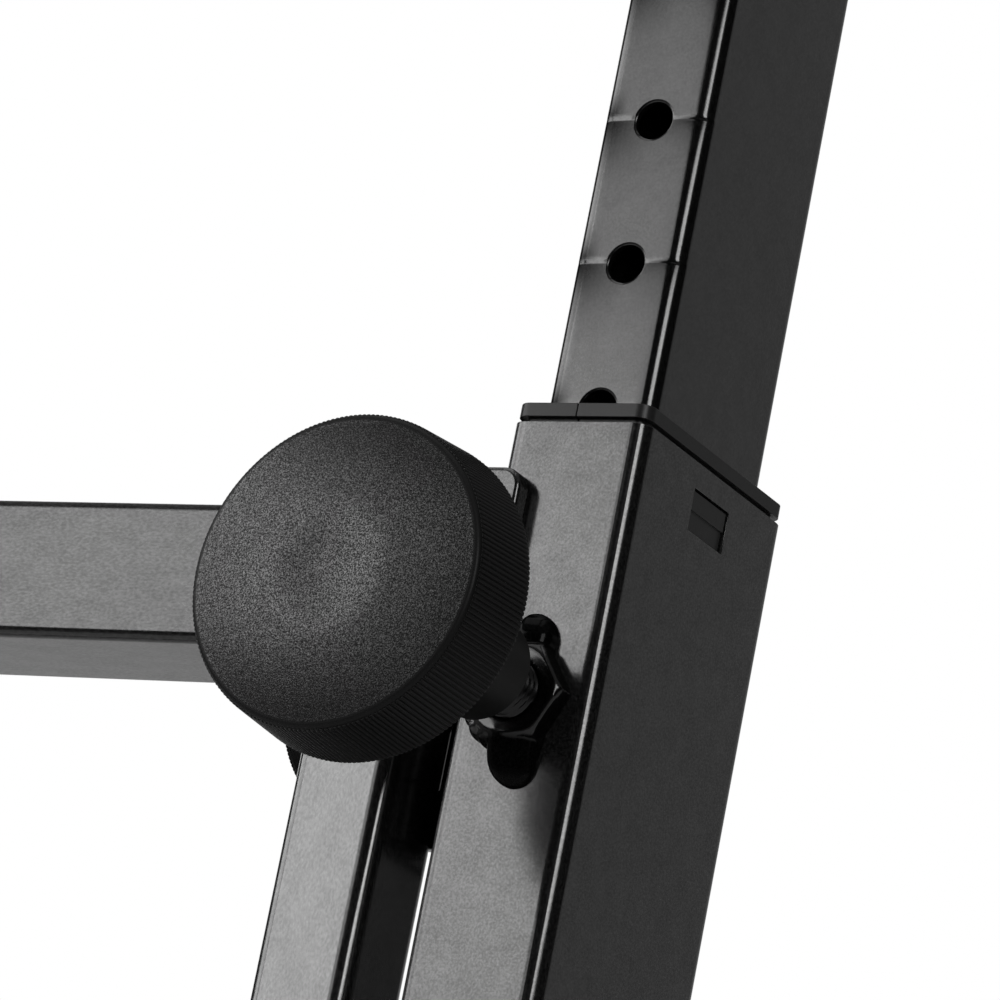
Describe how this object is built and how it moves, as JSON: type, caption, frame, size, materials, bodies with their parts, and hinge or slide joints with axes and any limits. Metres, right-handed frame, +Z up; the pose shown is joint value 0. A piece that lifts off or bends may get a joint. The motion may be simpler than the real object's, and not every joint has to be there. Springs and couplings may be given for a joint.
{
  "type": "keyboard stand",
  "caption": "Z-shaped folding keyboard stand of black rectangular steel tube, with telescoping legs set by large clamping knobs, support arms, and a middle frame adjustable in width.",
  "frame": {"origin": "centre of the footprint on the floor, midway between the two legs", "axes": "+X to the player's right, +Y away from the player, +Z up"},
  "size_m": [0.8624, 0.429, 0.7907],
  "materials": {
    "black_painted_steel": "smooth semi-gloss black powder coat",
    "black_nylon": "black moulded nylon",
    "black_rubber": "black moulded rubber",
    "grained_knob_plastic": "black plastic with a fine grained face",
    "zinc_plated_steel": "zinc plated"
  },
  "bodies": {
    "middle_frame": {"upper_crossbar": "black_painted_steel", "lower_crossbar": "black_painted_steel", "crossbar_guides": "black_nylon", "width_nuts": "black_painted_steel"},
    "side_frame_right": {"upper_slide_bar_right": "black_painted_steel", "lower_slide_bar_right": "black_painted_steel", "upright_right": "black_painted_steel", "frame_plugs_right": "black_nylon", "frame_hinge_leaves_right": "black_painted_steel", "hinge_pins_right": "zinc_plated_steel"},
    "leg_right": {"outer_leg_right": "black_painted_steel", "leg_collar_right": "black_nylon", "weld_nuts_right": "black_painted_steel", "floor_tube_right": "black_painted_steel", "floor_boots_right": "black_rubber", "leg_hinge_leaves_right": "black_painted_steel", "stop_brackets_right": "black_painted_steel", "stop_pads_right": "black_rubber"},
    "arm_and_inner_leg_right": {"inner_leg_right": "black_painted_steel", "inner_leg_glide_right": "black_nylon", "support_arm_right": "black_painted_steel", "arm_caps_right": "black_rubber", "arm_pads_right": "black_rubber"},
    "height_screw_right": {"height_screw_right": "zinc_plated_steel"},
    "height_knob_right": {"height_knob_right": "grained_knob_plastic"},
    "lock_screw_right": {"lock_screw_right": "zinc_plated_steel"},
    "lock_knob_right": {"lock_knob_right": "grained_knob_plastic"},
    "upper_width_screw_right": {"upper_width_screw_right": "zinc_plated_steel"},
    "upper_width_knob_right": {"upper_width_knob_right": "grained_knob_plastic"},
    "lower_width_screw_right": {"lower_width_screw_right": "zinc_plated_steel"},
    "lower_width_knob_right": {"lower_width_knob_right": "grained_knob_plastic"},
    "side_frame_left": {"upper_slide_bar_left": "black_painted_steel", "lower_slide_bar_left": "black_painted_steel", "upright_left": "black_painted_steel", "frame_plugs_left": "black_nylon", "frame_hinge_leaves_left": "black_painted_steel", "hinge_pins_left": "zinc_plated_steel"},
    "leg_left": {"outer_leg_left": "black_painted_steel", "leg_collar_left": "black_nylon", "weld_nuts_left": "black_painted_steel", "floor_tube_left": "black_painted_steel", "floor_boots_left": "black_rubber", "leg_hinge_leaves_left": "black_painted_steel", "stop_brackets_left": "black_painted_steel", "stop_pads_left": "black_rubber"},
    "arm_and_inner_leg_left": {"inner_leg_left": "black_painted_steel", "inner_leg_glide_left": "black_nylon", "support_arm_left": "black_painted_steel", "arm_caps_left": "black_rubber", "arm_pads_left": "black_rubber"},
    "height_screw_left": {"height_screw_left": "zinc_plated_steel"},
    "height_knob_left": {"height_knob_left": "grained_knob_plastic"},
    "lock_screw_left": {"lock_screw_left": "zinc_plated_steel"},
    "lock_knob_left": {"lock_knob_left": "grained_knob_plastic"},
    "upper_width_screw_left": {"upper_width_screw_left": "zinc_plated_steel"},
    "upper_width_knob_left": {"upper_width_knob_left": "grained_knob_plastic"},
    "lower_width_screw_left": {"lower_width_screw_left": "zinc_plated_steel"},
    "lower_width_knob_left": {"lower_width_knob_left": "grained_knob_plastic"}
  },
  "joints": [
    {"name": "width_slide_right", "type": "slide", "parent": "middle_frame", "child": "side_frame_right", "axis": [1, 0, 0], "range_m": [0, 0.1]},
    {"name": "leg_fold_right", "type": "hinge", "parent": "side_frame_right", "child": "leg_right", "pos_m": [0.37815, -0.05073, 0.29919], "axis": [0, 0.3665, 0.9304], "range_deg": [0, 90]},
    {"name": "height_slide_right", "type": "slide", "parent": "leg_right", "child": "arm_and_inner_leg_right", "axis": [0, 0.3665, 0.9304], "range_m": [-0.15, 0.12]},
    {"name": "height_screw_slide_right", "type": "slide", "parent": "leg_right", "child": "height_screw_right", "axis": [0, 0.9304, -0.3665], "range_m": [0, 0.0072]},
    {"name": "height_knob_turn_right", "type": "hinge", "parent": "height_screw_right", "child": "height_knob_right", "pos_m": [0.4, -0.0587, 0.45753], "axis": [0, 0.9304, -0.3665], "range_deg": [0, 1482]},
    {"name": "lock_screw_slide_right", "type": "slide", "parent": "leg_right", "child": "lock_screw_right", "axis": [0, 0.9304, -0.3665], "range_m": [0, 0.0063]},
    {"name": "lock_knob_turn_right", "type": "hinge", "parent": "lock_screw_right", "child": "lock_knob_right", "pos_m": [0.3603, -0.15557, 0.17067], "axis": [0, 0.9304, -0.3665], "range_deg": [0, 1815]},
    {"name": "upper_width_screw_slide_right", "type": "slide", "parent": "middle_frame", "child": "upper_width_screw_right", "axis": [0, 0.9304, -0.3665], "range_m": [0, 0.006]},
    {"name": "upper_width_knob_turn_right", "type": "hinge", "parent": "upper_width_screw_right", "child": "upper_width_knob_right", "pos_m": [0.327, 0.04292, 0.44265], "axis": [0, 0.9304, -0.3665], "range_deg": [0, 1235]},
    {"name": "lower_width_screw_slide_right", "type": "slide", "parent": "middle_frame", "child": "lower_width_screw_right", "axis": [0, 0.9304, -0.3665], "range_m": [0, 0.006]},
    {"name": "lower_width_knob_turn_right", "type": "hinge", "parent": "lower_width_screw_right", "child": "lower_width_knob_right", "pos_m": [0.327, -0.07649, 0.13952], "axis": [0, 0.9304, -0.3665], "range_deg": [0, 1235]},
    {"name": "width_slide_left", "type": "slide", "parent": "middle_frame", "child": "side_frame_left", "axis": [-1, 0, 0], "range_m": [0, 0.1]},
    {"name": "leg_fold_left", "type": "hinge", "parent": "side_frame_left", "child": "leg_left", "pos_m": [-0.37815, -0.05073, 0.29919], "axis": [0, -0.3665, -0.9304], "range_deg": [0, 90]},
    {"name": "height_slide_left", "type": "slide", "parent": "leg_left", "child": "arm_and_inner_leg_left", "axis": [0, 0.3665, 0.9304], "range_m": [-0.15, 0.12]},
    {"name": "height_screw_slide_left", "type": "slide", "parent": "leg_left", "child": "height_screw_left", "axis": [0, 0.9304, -0.3665], "range_m": [0, 0.0072]},
    {"name": "height_knob_turn_left", "type": "hinge", "parent": "height_screw_left", "child": "height_knob_left", "pos_m": [-0.4, -0.0587, 0.45753], "axis": [0, 0.9304, -0.3665], "range_deg": [0, 1482]},
    {"name": "lock_screw_slide_left", "type": "slide", "parent": "leg_left", "child": "lock_screw_left", "axis": [0, 0.9304, -0.3665], "range_m": [0, 0.0063]},
    {"name": "lock_knob_turn_left", "type": "hinge", "parent": "lock_screw_left", "child": "lock_knob_left", "pos_m": [-0.3603, -0.15557, 0.17067], "axis": [0, 0.9304, -0.3665], "range_deg": [0, 1815]},
    {"name": "upper_width_screw_slide_left", "type": "slide", "parent": "middle_frame", "child": "upper_width_screw_left", "axis": [0, 0.9304, -0.3665], "range_m": [0, 0.006]},
    {"name": "upper_width_knob_turn_left", "type": "hinge", "parent": "upper_width_screw_left", "child": "upper_width_knob_left", "pos_m": [-0.327, 0.04292, 0.44265], "axis": [0, 0.9304, -0.3665], "range_deg": [0, 1235]},
    {"name": "lower_width_screw_slide_left", "type": "slide", "parent": "middle_frame", "child": "lower_width_screw_left", "axis": [0, 0.9304, -0.3665], "range_m": [0, 0.006]},
    {"name": "lower_width_knob_turn_left", "type": "hinge", "parent": "lower_width_screw_left", "child": "lower_width_knob_left", "pos_m": [-0.327, -0.07649, 0.13952], "axis": [0, 0.9304, -0.3665], "range_deg": [0, 1235]}
  ],
  "couplings": [
    {"joint": "height_knob_turn_right", "follows": "height_screw_slide_right", "rad_per_m": 3590.4},
    {"joint": "lock_knob_turn_right", "follows": "lock_screw_slide_right", "rad_per_m": 5026.5},
    {"joint": "upper_width_knob_turn_right", "follows": "upper_width_screw_slide_right", "rad_per_m": 3590.4},
    {"joint": "lower_width_knob_turn_right", "follows": "lower_width_screw_slide_right", "rad_per_m": 3590.4},
    {"joint": "height_knob_turn_left", "follows": "height_screw_slide_left", "rad_per_m": 3590.4},
    {"joint": "lock_knob_turn_left", "follows": "lock_screw_slide_left", "rad_per_m": 5026.5},
    {"joint": "upper_width_knob_turn_left", "follows": "upper_width_screw_slide_left", "rad_per_m": 3590.4},
    {"joint": "lower_width_knob_turn_left", "follows": "lower_width_screw_slide_left", "rad_per_m": 3590.4}
  ]
}
